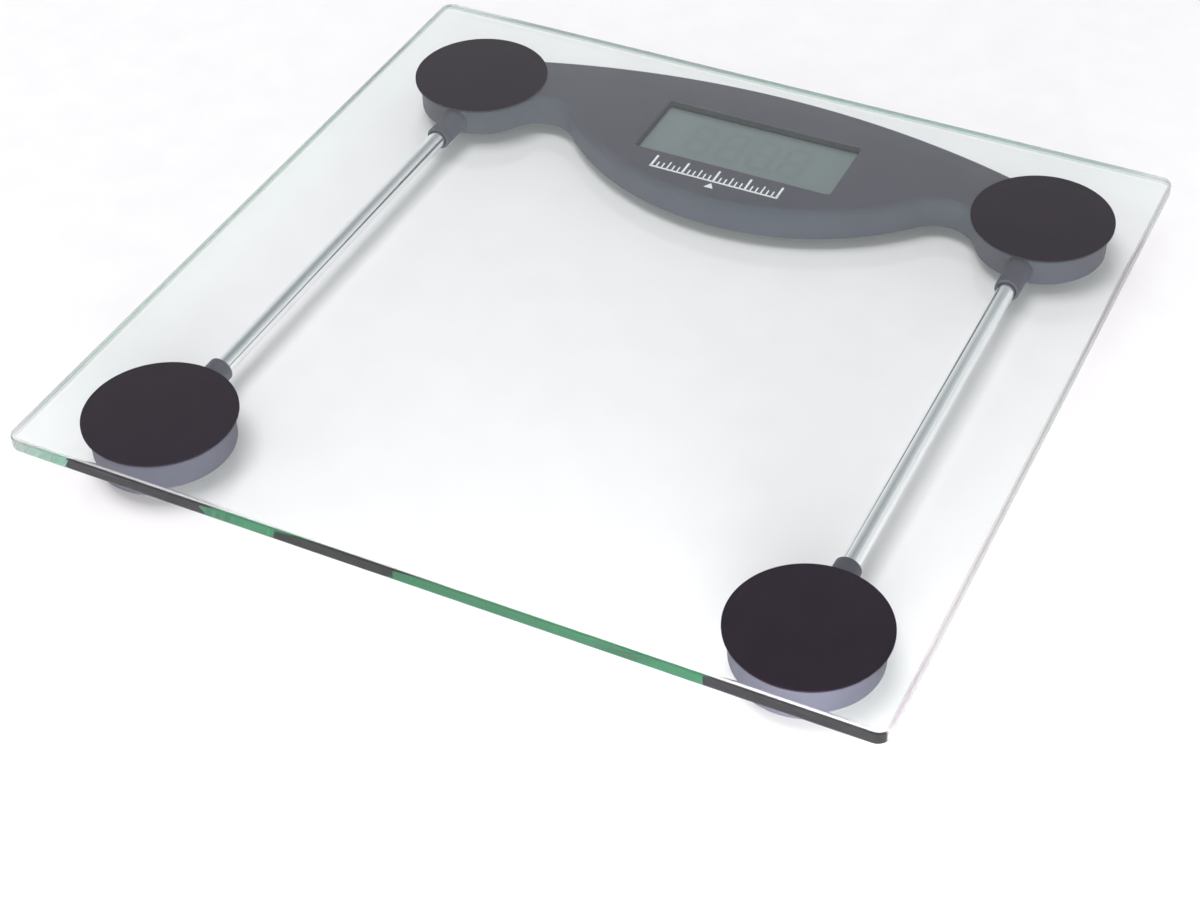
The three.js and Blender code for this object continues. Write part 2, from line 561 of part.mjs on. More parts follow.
for (const { name, x, y, turn } of FEET) {
  place(`bonding_disc_${name}`, cylinder(0, 0, DISC.radius, HOUSING_TOP, PLATE.bottom, 40), 'disc', MATT, x, y);
  place(`load_cell_${name}`, loadCell(), 'steel', BRUSHED, x, y).rotation.z = turn;
  place(`strain_gauge_${name}`, strainGauge(), 'silicone', MATT, x, y).rotation.z = turn;
  place(`foot_carrier_${name}`, geometryOf(footCarrier()), 'plastic', MATT, x, y);
  place(`foot_pad_${name}`, footPad(), 'rubber', MATT, x, y);
}

export default scale;
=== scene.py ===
import json
import math

import bmesh
import bpy
from mathutils import Matrix, Vector


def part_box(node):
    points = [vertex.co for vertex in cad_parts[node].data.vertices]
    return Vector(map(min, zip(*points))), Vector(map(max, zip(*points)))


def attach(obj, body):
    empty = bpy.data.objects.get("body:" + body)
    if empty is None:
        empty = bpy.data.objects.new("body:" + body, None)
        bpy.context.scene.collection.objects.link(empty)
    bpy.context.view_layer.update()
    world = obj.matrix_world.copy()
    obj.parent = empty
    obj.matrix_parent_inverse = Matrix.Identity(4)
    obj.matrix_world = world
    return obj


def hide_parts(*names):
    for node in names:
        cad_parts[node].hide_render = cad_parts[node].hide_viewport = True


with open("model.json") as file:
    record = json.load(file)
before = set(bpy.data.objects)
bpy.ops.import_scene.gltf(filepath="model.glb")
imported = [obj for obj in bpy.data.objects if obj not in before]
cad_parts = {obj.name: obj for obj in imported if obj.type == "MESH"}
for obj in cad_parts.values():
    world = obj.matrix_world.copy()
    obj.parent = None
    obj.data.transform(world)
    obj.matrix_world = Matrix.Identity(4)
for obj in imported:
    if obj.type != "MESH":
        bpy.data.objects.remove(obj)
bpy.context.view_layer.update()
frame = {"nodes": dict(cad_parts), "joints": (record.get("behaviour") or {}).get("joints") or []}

MM = 0.001

# ---- Measures read from the frame, in metres --------------------------------

PLATE_LOW, PLATE_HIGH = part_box("glass_platform")
BRIDGE_LOW, BRIDGE_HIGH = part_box("display_housing")
RIM, TOP = BRIDGE_LOW.z, BRIDGE_HIGH.z
FEET = ("front_left", "front_right", "rear_left", "rear_right")
SIDES = {"left": -1, "right": 1}


def centre(node):
    low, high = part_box(node)
    return (low + high) / 2


def size(node):
    low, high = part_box(node)
    return high - low


FOOT_AT = {foot: centre(f"bonding_disc_{foot}") for foot in FEET}
CUP_RADIUS = size("front_foot_housing_right").x / 2
TUBE_AT = {side: centre(f"connecting_tube_{side}") for side in SIDES}
CELL_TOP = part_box("load_cell_front_left")[1].z

# Dimensions that the boxes don't give, as the CAD model has them.
EDGE = 3 * MM                    # rounding of the housings' upper edge
WALL = 1.8 * MM
ROOF = TOP - 2.2 * MM            # underside of the housings' roof
BELLY_RADIUS = 97.5 * MM
BELLY_Y = BRIDGE_LOW.y + BELLY_RADIUS
BACK_RADIUS = 320 * MM
BACK_Y = BRIDGE_HIGH.y - BACK_RADIUS
NOTCH_RADIUS = 14.5 * MM
BAY_HALF = 88.5 * MM
COVER_INSET = 1.1 * MM
SOCKET_BORE = 3.5 * MM
SOCKET_RADIUS = 4.5 * MM
SOCKET_ROOT = 5.1 * MM
REAR_SOCKET_END = FOOT_AT["rear_left"].y - 37 * MM
FRONT_SOCKET_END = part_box("front_foot_housing_left")[1].y
WINDOW = (78 * MM, 31 * MM, centre("lcd_panel").y)

ROOM_LIGHT = 0.9
KEY_POWER = 10
FILL_POWER = 2.4
OVERHEAD_POWER = 40
MIRRORED_POWER = 14
LOW_POWER = 3.6

# ---- Outlines ----------------------------------------------------------------


def arc(x, y, radius, start, end, count):
    """count points on an arc, in degrees, from start up to but not including end."""
    angles = (math.radians(start + (end - start) * i / count) for i in range(count))
    return [(x + radius * math.cos(a), y + radius * math.sin(a)) for a in angles]


def circle(x, y, radius, count=64):
    return arc(x, y, radius, 0, 360, count)


def rounded_rectangle(x, y, width, depth, corner, count=8):
    dx, dy = width / 2 - corner, depth / 2 - corner
    corners = ((dx, dy, 0), (-dx, dy, 90), (-dx, -dy, 180), (dx, -dy, 270))
    turn = 90 * (1 + 1 / count)    # one step more than a quarter, since arc leaves its end out
    return [p for cx, cy, a in corners for p in arc(x + cx, y + cy, corner, a, a + turn, count + 1)]


def meet(a, b, sign):
    """Where circles a and b, each (x, y, radius), cross, on the side that sign picks."""
    dx, dy = b[0] - a[0], b[1] - a[1]
    gap = math.hypot(dx, dy)
    along = (gap ** 2 + a[2] ** 2 - b[2] ** 2) / (2 * gap)
    across = sign * math.sqrt(a[2] ** 2 - along ** 2)
    return a[0] + (along * dx - across * dy) / gap, a[1] + (along * dy + across * dx) / gap


def bearing(a, b):
    return math.degrees(math.atan2(b[1] - a[1], b[0] - a[0]))


def bridge_outline(inset):
    """The bridge with its rear feet from above, drawn in by inset. Point counts don't depend on inset."""
    foot_x, foot_y = FOOT_AT["rear_right"].x, FOOT_AT["rear_right"].y
    belly = (0, BELLY_Y, BELLY_RADIUS - inset)
    foot = (foot_x, foot_y, CUP_RADIUS - inset)
    back = (0, BACK_Y, BACK_RADIUS - inset)
    notch = meet((0, BELLY_Y, BELLY_RADIUS + NOTCH_RADIUS), (foot_x, foot_y, CUP_RADIUS + NOTCH_RADIUS), -1)
    corner = meet(back, foot, 1)
    half = arc(*belly, -90, bearing(belly, notch), 36)
    half += arc(*notch, NOTCH_RADIUS + inset, bearing(notch, belly), bearing(notch, foot), 24)
    half += arc(*foot, bearing(foot, notch), bearing(foot, corner), 72)
    half += arc(*back, bearing(back, corner), 90, 30)
    apex = [(0, BACK_Y + back[2])]
    return half + apex + [(-x, y) for x, y in reversed(half[1:])]


def soften(points, reach, steps=4):
    """Rounds each inner corner of an open line of points, starting at most reach away from it."""
    out = [points[0]]
    for before, at, after in zip(points, points[1:], points[2:]):
        a, p, b = Vector(before), Vector(at), Vector(after)
        cut = min(reach, 0.45 * (a - p).length, 0.45 * (b - p).length)
        start, end = p + (a - p).normalized() * cut, p + (b - p).normalized() * cut
        for i in range(steps + 1):
            t = i / steps
            out.append(tuple(start * (1 - t) ** 2 + p * 2 * t * (1 - t) + end * t ** 2))
    return out + [points[-1]]


# ---- Mesh building ------------------------------------------------------------


def new_object(name, verts, faces):
    mesh = bpy.data.meshes.new(name)
    mesh.from_pydata([tuple(v) for v in verts], [], faces)
    mesh.validate()
    obj = bpy.data.objects.new(name, mesh)
    bpy.context.scene.collection.objects.link(obj)
    return obj


def stack(name, rings):
    """A closed skin over rings of matching points, each (points, z), from the lowest ring up."""
    count = len(rings[0][0])
    verts = [(x, y, z) for points, z in rings for x, y in points]
    faces = []
    for k in range(len(rings) - 1):
        for i in range(count):
            j = (i + 1) % count
            faces.append((k * count + i, k * count + j, (k + 1) * count + j, (k + 1) * count + i))
    faces.append(tuple(reversed(range(count))))
    faces.append(tuple(range((len(rings) - 1) * count, len(rings) * count)))
    return new_object(name, verts, faces)


def prism(name, outline, low, high):
    return stack(name, [(outline, low), (outline, high)])


def box(name, low, high):
    (x0, y0, z0), (x1, y1, z1) = low, high
    return prism(name, [(x0, y0), (x1, y0), (x1, y1), (x0, y1)], z0, z1)


def turned(name, profile, at=(0, 0), count=96):
    """A solid of revolution about a vertical axis.

    profile is (radius, z) pairs, from the axis round to the axis.
    """
    verts, faces, rows = [], [], []
    for radius, z in profile:
        if radius < 1e-9:
            rows.append([len(verts)])
            verts.append((at[0], at[1], z))
        else:
            rows.append(list(range(len(verts), len(verts) + count)))
            verts += [(x, y, z) for x, y in circle(*at, radius, count)]
    for low, high in zip(rows, rows[1:]):
        for i in range(count):
            j = (i + 1) % count
            if len(low) == 1:
                faces.append((low[0], high[j], high[i]))
            elif len(high) == 1:
                faces.append((low[i], low[j], high[0]))
            else:
                faces.append((low[i], low[j], high[j], high[i]))
    return new_object(name, verts, faces)


def along_y(obj, x, z, sign=1):
    """Lays a solid turned about Z along Y instead, with its axis at x, z and its upper end towards sign."""
    turn = Matrix.Rotation(math.radians(-90 * sign), 4, "X")
    obj.data.transform(Matrix.Translation((x, 0, z)) @ turn)
    return obj


def boolean(target, operation, *tools):
    for tool in tools:
        modifier = target.modifiers.new("boolean", "BOOLEAN")
        modifier.operation, modifier.object, modifier.solver = operation, tool, "EXACT"
        graph = bpy.context.evaluated_depsgraph_get()
        result = bpy.data.meshes.new_from_object(target.evaluated_get(graph))
        target.modifiers.clear()
        old, target.data = target.data, result
        result.name = target.name
        bpy.data.meshes.remove(old)
        bpy.data.objects.remove(tool)
    return target


def cut(target, *tools):
    return boolean(target, "DIFFERENCE", *tools)


def weld(target, *tools):
    return boolean(target, "UNION", *tools)


def shade(obj, angle=35):
    """Smooth faces, with sharp edges past angle and normals that keep the flat faces flat."""
    obj.data.shade_smooth()
    obj.data.set_sharp_from_angle(angle=math.radians(angle))
    modifier = obj.modifiers.new("normals", "WEIGHTED_NORMAL")
    modifier.keep_sharp, modifier.weight = True, 100
    return obj


def piece(obj, body, material, slot, *nodes, angle=35):
    shade(obj, angle)
    obj.data.materials.clear()
    obj.data.materials.append(material)
    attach(obj, body)
    if nodes:
        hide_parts(*nodes)
    return obj


# ---- Materials ---------------------------------------------------------------


def colour(red, green, blue):
    """Display values from 0 to 255 as the linear colour that a shader takes."""
    linear = [v / 255 / 12.92 if v / 255 <= 0.04045 else ((v / 255 + 0.055) / 1.055) ** 2.4
              for v in (red, green, blue)]
    return (*linear, 1)


def add_noise(tree, scale, detail=4.0, stretch=(1, 1, 1)):
    coordinates = tree.nodes.new("ShaderNodeTexCoord")
    mapping = tree.nodes.new("ShaderNodeMapping")
    mapping.inputs["Scale"].default_value = stretch
    noise = tree.nodes.new("ShaderNodeTexNoise")
    noise.inputs["Scale"].default_value = scale
    noise.inputs["Detail"].default_value = detail
    tree.links.new(coordinates.outputs["Object"], mapping.inputs["Vector"])
    tree.links.new(mapping.outputs["Vector"], noise.inputs["Vector"])
    return noise.outputs["Fac"]


def ramp(tree, factor, low, high, start=0.35, end=0.65):
    node = tree.nodes.new("ShaderNodeValToRGB")
    node.color_ramp.elements[0].position, node.color_ramp.elements[0].color = start, low
    node.color_ramp.elements[1].position, node.color_ramp.elements[1].color = end, high
    tree.links.new(factor, node.inputs["Fac"])
    return node.outputs["Color"]


def spread(tree, factor, low, high):
    node = tree.nodes.new("ShaderNodeMapRange")
    node.inputs["From Min"].default_value, node.inputs["From Max"].default_value = 0.3, 0.7
    node.inputs["To Min"].default_value, node.inputs["To Max"].default_value = low, high
    tree.links.new(factor, node.inputs["Value"])
    return node.outputs["Result"]


def bump(tree, height, strength, distance, normal=None):
    node = tree.nodes.new("ShaderNodeBump")
    node.inputs["Strength"].default_value = strength
    node.inputs["Distance"].default_value = distance
    tree.links.new(height, node.inputs["Height"])
    if normal is not None:
        tree.links.new(normal, node.inputs["Normal"])
    return node.outputs["Normal"]


def surface(name, low, high, rough, grain, patch=60, metallic=0.0, stretch=(1, 1, 1), **sockets):
    """A surface whose colour, roughness and fine relief all vary.

    rough is (least, most) and grain is (scale, strength, depth).
    """
    material = bpy.data.materials.new(name)
    material.use_nodes = True
    tree = material.node_tree
    shader = tree.nodes["Principled BSDF"]
    tree.links.new(ramp(tree, add_noise(tree, patch), low, high), shader.inputs["Base Color"])
    tree.links.new(spread(tree, add_noise(tree, patch * 3.1), *rough), shader.inputs["Roughness"])
    scale, strength, depth = grain
    fine = add_noise(tree, scale, 3.0, stretch)
    tree.links.new(bump(tree, fine, strength, depth), shader.inputs["Normal"])
    shader.inputs["Metallic"].default_value = metallic
    for socket, value in sockets.items():
        shader.inputs[socket.replace("_", " ")].default_value = value
    return material


def ground_edges(tree):
    """1 where the sheet is ground matt: its side and back edges, and partly the front's upper arris."""
    coordinates = tree.nodes.new("ShaderNodeTexCoord")
    split, place = tree.nodes.new("ShaderNodeSeparateXYZ"), tree.nodes.new("ShaderNodeSeparateXYZ")
    tree.links.new(coordinates.outputs["Normal"], split.inputs["Vector"])
    tree.links.new(coordinates.outputs["Object"], place.inputs["Vector"])
    arris = tree.nodes.new("ShaderNodeValToRGB")
    for position, level in ((0.55, 0), (0.7, 0.7), (0.92, 0.7), (0.97, 0)):
        arris.color_ramp.elements.new(position).color = (level, level, level, 1)
    arris.color_ramp.elements[5].color = (0, 0, 0, 1)
    tree.links.new(split.outputs["Z"], arris.inputs["Fac"])
    sideways = limit(tree, calculate(tree, "MULTIPLY", split.outputs["X"], split.outputs["X"]), 0.0, 0.12)
    sideways = calculate(tree, "MULTIPLY", sideways, limit(tree, split.outputs["Y"], -0.6, -0.3))
    lengthways = calculate(tree, "MULTIPLY", split.outputs["Y"], split.outputs["Y"])
    behind = limit(tree, place.outputs["Y"], PLATE_HIGH.y - 20 * MM, PLATE_HIGH.y - 10 * MM)
    rear = limit(tree, calculate(tree, "MULTIPLY", lengthways, behind), 0.0, 0.12)
    flat = calculate(tree, "MAXIMUM", sideways, rear)
    front = limit(tree, split.outputs["Y"], -0.1, -0.2)
    return calculate(tree, "MAXIMUM", flat, calculate(tree, "MULTIPLY", front, arris.outputs["Color"]))


def calculate(tree, operation, a, b):
    node = tree.nodes.new("ShaderNodeMath")
    node.operation = operation
    tree.links.new(a, node.inputs[0])
    tree.links.new(b, node.inputs[1])
    return node.outputs["Value"]


def limit(tree, value, start, end, low=0.0, high=1.0):
    """value carried from start..end to low..high."""
    node = tree.nodes.new("ShaderNodeMapRange")
    node.inputs["From Min"].default_value, node.inputs["From Max"].default_value = start, end
    node.inputs["To Min"].default_value, node.inputs["To Max"].default_value = low, high
    tree.links.new(value, node.inputs["Value"])
    return node.outputs["Result"]


def clear_glass():
    """Glass that lets lamps through and turns green over a long path. Some of its edges are ground."""
    material = bpy.data.materials.new("clear_glass")
    material.use_nodes = True
    tree = material.node_tree
    shader, output = tree.nodes["Principled BSDF"], tree.nodes["Material Output"]
    shader.inputs["IOR"].default_value = 1.52
    ground = ground_edges(tree)
    clear, matt = (0.99, 0.99, 0.99, 1), (0.60, 0.56, 0.58, 1)
    tree.links.new(ramp(tree, ground, clear, matt, 0, 1), shader.inputs["Base Color"])
    tree.links.new(limit(tree, ground, 0, 1, 1, 0.5), shader.inputs["Transmission Weight"])
    smudges = spread(tree, add_noise(tree, 22, 5.0), 0.0, 0.004)
    rough = calculate(tree, "ADD", smudges, limit(tree, ground, 0, 1, 0, 0.25))
    tree.links.new(rough, shader.inputs["Roughness"])
    ray = tree.nodes.new("ShaderNodeLightPath")
    window = tree.nodes.new("ShaderNodeBsdfTransparent")
    window.inputs["Color"].default_value = (1.0, 0.957, 0.972, 1)
    result = shader.outputs["BSDF"]
    for kind in ("Is Shadow Ray", "Is Diffuse Ray"):
        mix = tree.nodes.new("ShaderNodeMixShader")
        tree.links.new(ray.outputs[kind], mix.inputs["Fac"])
        tree.links.new(result, mix.inputs[1])
        tree.links.new(window.outputs["BSDF"], mix.inputs[2])
        result = mix.outputs["Shader"]
    tree.links.new(result, output.inputs["Surface"])
    tint = tree.nodes.new("ShaderNodeVolumeAbsorption")
    tint.inputs["Color"].default_value = (0.0, 0.73, 0.46, 1)
    tint.inputs["Density"].default_value = 8.5
    tree.links.new(tint.outputs["Volume"], output.inputs["Volume"])
    return material


GLASS = clear_glass()
PLASTIC = surface("satin_grey_plastic", colour(66, 65, 77), colour(70, 69, 81), (0.50, 0.58),
                  (1100, 0.05, 0.02 * MM), Specular_IOR_Level=0.35)
UNDER_PLASTIC = surface("textured_grey_plastic", colour(82, 81, 91), colour(89, 88, 98), (0.58, 0.68),
                        (1500, 0.5, 0.06 * MM))
DISC_BLACK = surface("black_foam_pad", colour(25, 12, 27), colour(29, 16, 31), (0.7, 0.85),
                     (420, 0.12, 0.03 * MM), Specular_IOR_Level=0.1)
CHROME = surface("polished_plating", colour(243, 243, 246), colour(248, 248, 250), (0.05, 0.10),
                 (900, 0.03, 0.01 * MM), metallic=1.0, stretch=(1, 0.02, 1))
BLACK = surface("black_plastic", colour(24, 24, 26), colour(31, 31, 33), (0.38, 0.5),
                (2200, 0.3, 0.03 * MM))
RUBBER = surface("grey_rubber", colour(46, 46, 48), colour(58, 57, 58), (0.78, 0.9),
                 (1300, 0.6, 0.08 * MM))
STEEL = surface("plated_steel", colour(168, 171, 175), colour(188, 190, 192), (0.22, 0.36),
                (700, 0.2, 0.02 * MM), metallic=1.0, stretch=(1, 0.05, 1))
CELL_STEEL = surface("spring_steel", colour(150, 152, 154), colour(176, 176, 174), (0.3, 0.5),
                     (500, 0.3, 0.02 * MM), metallic=1.0, stretch=(0.05, 1, 1))
BRASS = surface("contact_strip", colour(196, 170, 112), colour(214, 190, 132), (0.24, 0.4),
                (600, 0.2, 0.02 * MM), metallic=1.0)
SILICONE = surface("white_silicone", colour(226, 226, 218), colour(238, 238, 232), (0.4, 0.6),
                   (700, 0.5, 0.1 * MM))
BOARD_GREEN = surface("solder_mask", colour(20, 82, 44), colour(32, 104, 56), (0.25, 0.4),
                      (900, 0.3, 0.04 * MM))
LEAD_GREY = surface("lead_sheath", colour(112, 114, 118), colour(128, 130, 134), (0.5, 0.65),
                    (1200, 0.4, 0.05 * MM))
PRINT = surface("white_print", colour(226, 228, 230), colour(240, 241, 242), (0.5, 0.6),
                (2400, 0.3, 0.02 * MM))
SCREEN = surface("display_film", colour(107, 121, 121), colour(111, 125, 125), (0.32, 0.40),
                 (3200, 0.2, 0.01 * MM), patch=25, Coat_Weight=0.3, Coat_Roughness=0.15)
SEGMENTS = surface("unlit_segments", colour(102, 115, 115), colour(106, 119, 119), (0.32, 0.40),
                   (3200, 0.2, 0.01 * MM))

# ---- Platform and bonding discs -----------------------------------------------


def glass_platform():
    """A sheet with flat edges and rounded arrises."""
    low, high = PLATE_LOW, PLATE_HIGH
    width, depth = high.x - low.x, high.y - low.y
    arris, corner, steps = 1.4 * MM, 4.5 * MM, 8
    profile = []
    for i in range(steps + 1):
        angle = math.radians(90 * i / steps)
        profile.append((arris * (1 - math.sin(angle)), low.z + arris * (1 - math.cos(angle))))
    profile += [(inset, low.z + high.z - z) for inset, z in reversed(profile)]
    rings = [(rounded_rectangle(0, 0, width - 2 * inset, depth - 2 * inset, corner - inset, 24), z)
             for inset, z in profile]
    return piece(stack("platform", rings), "scale", GLASS, "clear_glass", "glass_platform", angle=60)


def bonding_disc(foot):
    low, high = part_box(f"bonding_disc_{foot}")
    radius = (high.x - low.x) / 2
    bonded = high.z + 0.01 * MM    # just inside the glass, as glue wets it
    profile = [(0, low.z), (radius - 0.15 * MM, low.z), (radius, low.z + 0.2 * MM), (radius, bonded),
               (0, bonded)]
    at = FOOT_AT[foot].x, FOOT_AT[foot].y
    obj = turned(f"pad_disc_{foot}", profile, at, 128)
    return piece(obj, "scale", DISC_BLACK, "black_disc", f"bonding_disc_{foot}")


# ---- Housings ------------------------------------------------------------------


def upper_edge(radius=EDGE, steps=8):
    """(inset, z) of the rounded upper edge of a housing, from its wall to its top."""
    angles = (math.radians(90 * i / steps) for i in range(steps + 1))
    return [(radius * (1 - math.cos(a)), TOP - radius * (1 - math.sin(a))) for a in angles]


def collar(name, x, start, end):
    """The socket that a connecting tube plugs into, from a cup's wall at start to its nose at end."""
    sign = 1 if end > start else -1
    reach = abs(end - start)
    profile = soften([(0, 0), (SOCKET_ROOT, 0), (SOCKET_ROOT, 2 * MM), (SOCKET_RADIUS, 6 * MM),
                      (SOCKET_RADIUS, reach), (SOCKET_BORE + 0.1 * MM, reach), (0, reach)], 0.9 * MM)
    obj = turned(name, profile, count=48)
    along_y(obj, x, TUBE_AT["left"].z, sign)
    obj.data.transform(Matrix.Translation((0, start, 0)))
    return obj


def bore(x, start, end):
    low, high = sorted((start, end))
    obj = turned("bore", [(0, low), (SOCKET_BORE, low), (SOCKET_BORE, high), (0, high)], count=48)
    return along_y(obj, x, TUBE_AT["left"].z)


def cell_boss(foot):
    low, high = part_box(f"load_cell_{foot}")
    x, y = (low.x + high.x) / 2, (low.y + high.y) / 2
    return box("boss", (x - 4 * MM, y - 4 * MM, CELL_TOP), (x + 4 * MM, y + 4 * MM, ROOF + 0.3 * MM))


def front_foot_housing(side):
    foot = f"front_{side}"
    x, y = FOOT_AT[foot].x, FOOT_AT[foot].y
    inner = CUP_RADIUS - WALL
    profile = [(0, ROOF), (inner, ROOF)] + [(inner, RIM + 0.3 * MM), (inner + 0.3 * MM, RIM)]
    profile += [(CUP_RADIUS - 0.4 * MM, RIM), (CUP_RADIUS, RIM + 0.4 * MM)]
    profile += [(CUP_RADIUS - inset, z) for inset, z in upper_edge()] + [(0, TOP)]
    obj = turned(f"foot_housing_{foot}", profile, (x, y), 128)
    start = y + CUP_RADIUS - 1.5 * MM
    tube_x = TUBE_AT[side].x
    weld(obj, collar("collar", tube_x, start, FRONT_SOCKET_END), cell_boss(foot))
    cut(obj, bore(tube_x, start - 3 * MM, FRONT_SOCKET_END + 1 * MM))
    return piece(obj, "scale", PLASTIC, "grey_plastic", f"front_foot_housing_{side}", angle=30)


def screw_places(kind, side):
    return [centre(n) for n in sorted(frame["nodes"]) if n.startswith(f"{kind}_screw_{side}_")]


def display_housing():
    rings = [(bridge_outline(0.4 * MM), RIM), (bridge_outline(0), RIM + 0.4 * MM)]
    rings += [(bridge_outline(inset), z) for inset, z in upper_edge()]
    rings += [(bridge_outline(EDGE + 2 * MM), TOP)]
    obj = stack("display_bridge", rings)
    below = RIM - 1 * MM
    bay = prism("bay", bridge_outline(WALL), below, ROOF)
    boolean(bay, "INTERSECT", box("clip", (-BAY_HALF, 0, below - MM), (BAY_HALF, 0.2, ROOF + MM)))
    rebate_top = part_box("underside_cover")[0].z + 1.9 * MM
    rebate = prism("rebate", bridge_outline(COVER_INSET - 0.3 * MM), below, rebate_top)
    boolean(rebate, "INTERSECT", box("clip", (-BAY_HALF, 0, below - MM), (BAY_HALF, 0.2, ROOF)))
    cut(obj, bay, rebate)
    for side in SIDES:
        foot = f"rear_{side}"
        x, y = FOOT_AT[foot].x, FOOT_AT[foot].y
        cut(obj, prism("cup", circle(x, y, CUP_RADIUS - WALL, 128), below, ROOF))
        start = y - CUP_RADIUS + 1.5 * MM
        tube_x = TUBE_AT[side].x
        weld(obj, collar("collar", tube_x, start, REAR_SOCKET_END), cell_boss(foot))
        cut(obj, bore(tube_x, start + 3 * MM, REAR_SOCKET_END - 1 * MM))
        for at in screw_places("cover", side):
            weld(obj, prism("pillar", circle(at.x, at.y, 2.8 * MM, 32), RIM + 3.5 * MM, ROOF + 0.3 * MM))
            cut(obj, prism("hole", circle(at.x, at.y, 1.3 * MM, 24), RIM + 3 * MM, ROOF - 1.2 * MM))
        for at in screw_places("board", side):
            weld(obj, prism("pillar", circle(at.x, at.y, 2.2 * MM, 32), RIM + 4.9 * MM, ROOF + 0.3 * MM))
            cut(obj, prism("hole", circle(at.x, at.y, 1.1 * MM, 24), RIM + 4 * MM, ROOF - 0.9 * MM))
    cut(obj, *slot_cuts(), window_cut())
    return piece(obj, "scale", PLASTIC, "grey_plastic", "display_housing", angle=30)


def slot_cuts():
    """The gaps through which the leads pass from the rear feet into the bay."""
    out = []
    half, front, back, low = 5.5 * MM, 96 * MM, 111 * MM, ROOF - 2.6 * MM
    for sign in SIDES.values():
        x = sign * 91.5 * MM
        slot = box("slot", (x - half, front, low), (x + half, back, ROOF))
        inside = prism("inside", bridge_outline(WALL), RIM, TOP)
        out.append(boolean(slot, "INTERSECT", inside))
    return out


def window_outline(spread_by, corner):
    """The display window out to its black lining, widened at the back and the left so that the lining shows
    there as painted shade of the recess wall.
    """
    width, depth, y = WINDOW
    # How far the window is widened at the left and the back, where the black lining shows as painted shade.
    shade_band_x, shade_band_y = 0.5 * MM, 1.8 * MM
    return rounded_rectangle(-shade_band_x / 2, y + shade_band_y / 2, width + shade_band_x + spread_by,
                             depth + shade_band_y + spread_by, corner)


def window_cut():
    """The display window, a little wider at the top than at the bottom."""
    rings = [(window_outline(0, 1.5 * MM), ROOF - MM), (window_outline(0, 1.5 * MM), TOP - 0.5 * MM),
             (window_outline(0.8 * MM, 2.0 * MM), TOP), (window_outline(1.2 * MM, 2.2 * MM), TOP + MM)]
    return stack("window", rings)


def shade_lining():
    """A black lining that is painted shade: it shows along the back and the left of the display glass,
    inside the window, where the recess wall lies in shade.
    """
    width, depth, y = WINDOW
    obj = prism("shade_lining", window_outline(0, 1.5 * MM), ROOF + 0.1 * MM, ROOF + 1.3 * MM)
    opening = rounded_rectangle(0, y, width, depth, 1.0 * MM)
    cut(obj, prism("opening", opening, ROOF - MM, TOP))
    return piece(obj, "scale", BLACK, "black_rubber")


def printed_scale():
    """A row of white graduation marks below the window, with a pointer at its middle."""
    x, y, pitch, low, high = -3 * MM, WINDOW[2] - 25.5 * MM, 2.1 * MM, TOP, TOP + 0.04 * MM
    marks = []
    for i in range(-12, 13):
        length = 7 * MM if i % 6 == 0 else 5 * MM if i % 3 == 0 else 3.4 * MM
        width = 0.9 * MM if i % 6 == 0 else 0.6 * MM
        outline = rounded_rectangle(x + i * pitch, y + length / 2, width, length, 0.25 * MM, 3)
        marks.append(prism("mark", outline, low, high))
    marks.append(prism("line", rounded_rectangle(x, y, 24.6 * pitch, 0.8 * MM, 0.35 * MM, 3), low, high))
    arrow = [(x, y - 1.2 * MM), (x - 1.8 * MM, y - 4.2 * MM), (x + 1.8 * MM, y - 4.2 * MM)]
    marks.append(prism("pointer", arrow, low, high))
    return piece(joined("printed_scale", marks), "scale", PRINT, "silicone")


def joined(name, parts):
    """Several solids as one piece."""
    mesh = bmesh.new()
    for part in parts:
        mesh.from_mesh(part.data)
        bpy.data.objects.remove(part)
    data = bpy.data.meshes.new(name)
    mesh.to_mesh(data)
    mesh.free()
    obj = bpy.data.objects.new(name, data)
    bpy.context.scene.collection.objects.link(obj)
    return obj


def connecting_tube(side):
    low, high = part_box(f"connecting_tube_{side}")
    radius, inner = (high.x - low.x) / 2, 2.6 * MM
    profile = [(inner, low.y), (radius, low.y), (radius, high.y), (inner, high.y)]
    ring = [(r, y) for r, y in soften([*profile, profile[0]], 0.25 * MM)]
    obj = pipe(f"side_tube_{side}", ring)
    along_y(obj, TUBE_AT[side].x, TUBE_AT[side].z)
    return piece(obj, "scale", CHROME, "polished_tube", f"connecting_tube_{side}")


def pipe(name, profile, count=64):
    """A solid of revolution with a hole through it. The last point of profile repeats its first."""
    rows = profile[:-1]
    verts = [(x, y, z) for radius, z in rows for x, y in circle(0, 0, radius, count)]
    faces = []
    for k in range(len(rows)):
        m = (k + 1) % len(rows)
        for i in range(count):
            j = (i + 1) % count
            faces.append((k * count + i, k * count + j, m * count + j, m * count + i))
    return new_object(name, verts, faces)


# ---- Display --------------------------------------------------------------------


def digit_segments(x, y, height):
    """The seven bars of one digit, lower left corner at x, y."""
    width, bar, gap = height * 0.52, height * 0.105, height * 0.018
    half = (height - bar) / 2

    def bar_h(cx, cy):
        reach = (width - bar) / 2 - gap
        b = bar / 2
        return [(cx - reach, cy), (cx - reach + b, cy - b), (cx + reach - b, cy - b),
                (cx + reach, cy), (cx + reach - b, cy + b), (cx - reach + b, cy + b)]

    def bar_v(cx, cy):
        reach = half / 2 - gap
        b = bar / 2
        return [(cx, cy - reach), (cx + b, cy - reach + b), (cx + b, cy + reach - b),
                (cx, cy + reach), (cx - b, cy + reach - b), (cx - b, cy - reach + b)]

    left, right, middle = x + bar / 2, x + width - bar / 2, x + width / 2
    rows = (y + bar / 2, y + height / 2, y + height - bar / 2)
    bars = [bar_h(middle, row) for row in rows]
    bars += [bar_v(side, (a + b) / 2) for side in (left, right) for a, b in zip(rows, rows[1:])]
    return bars


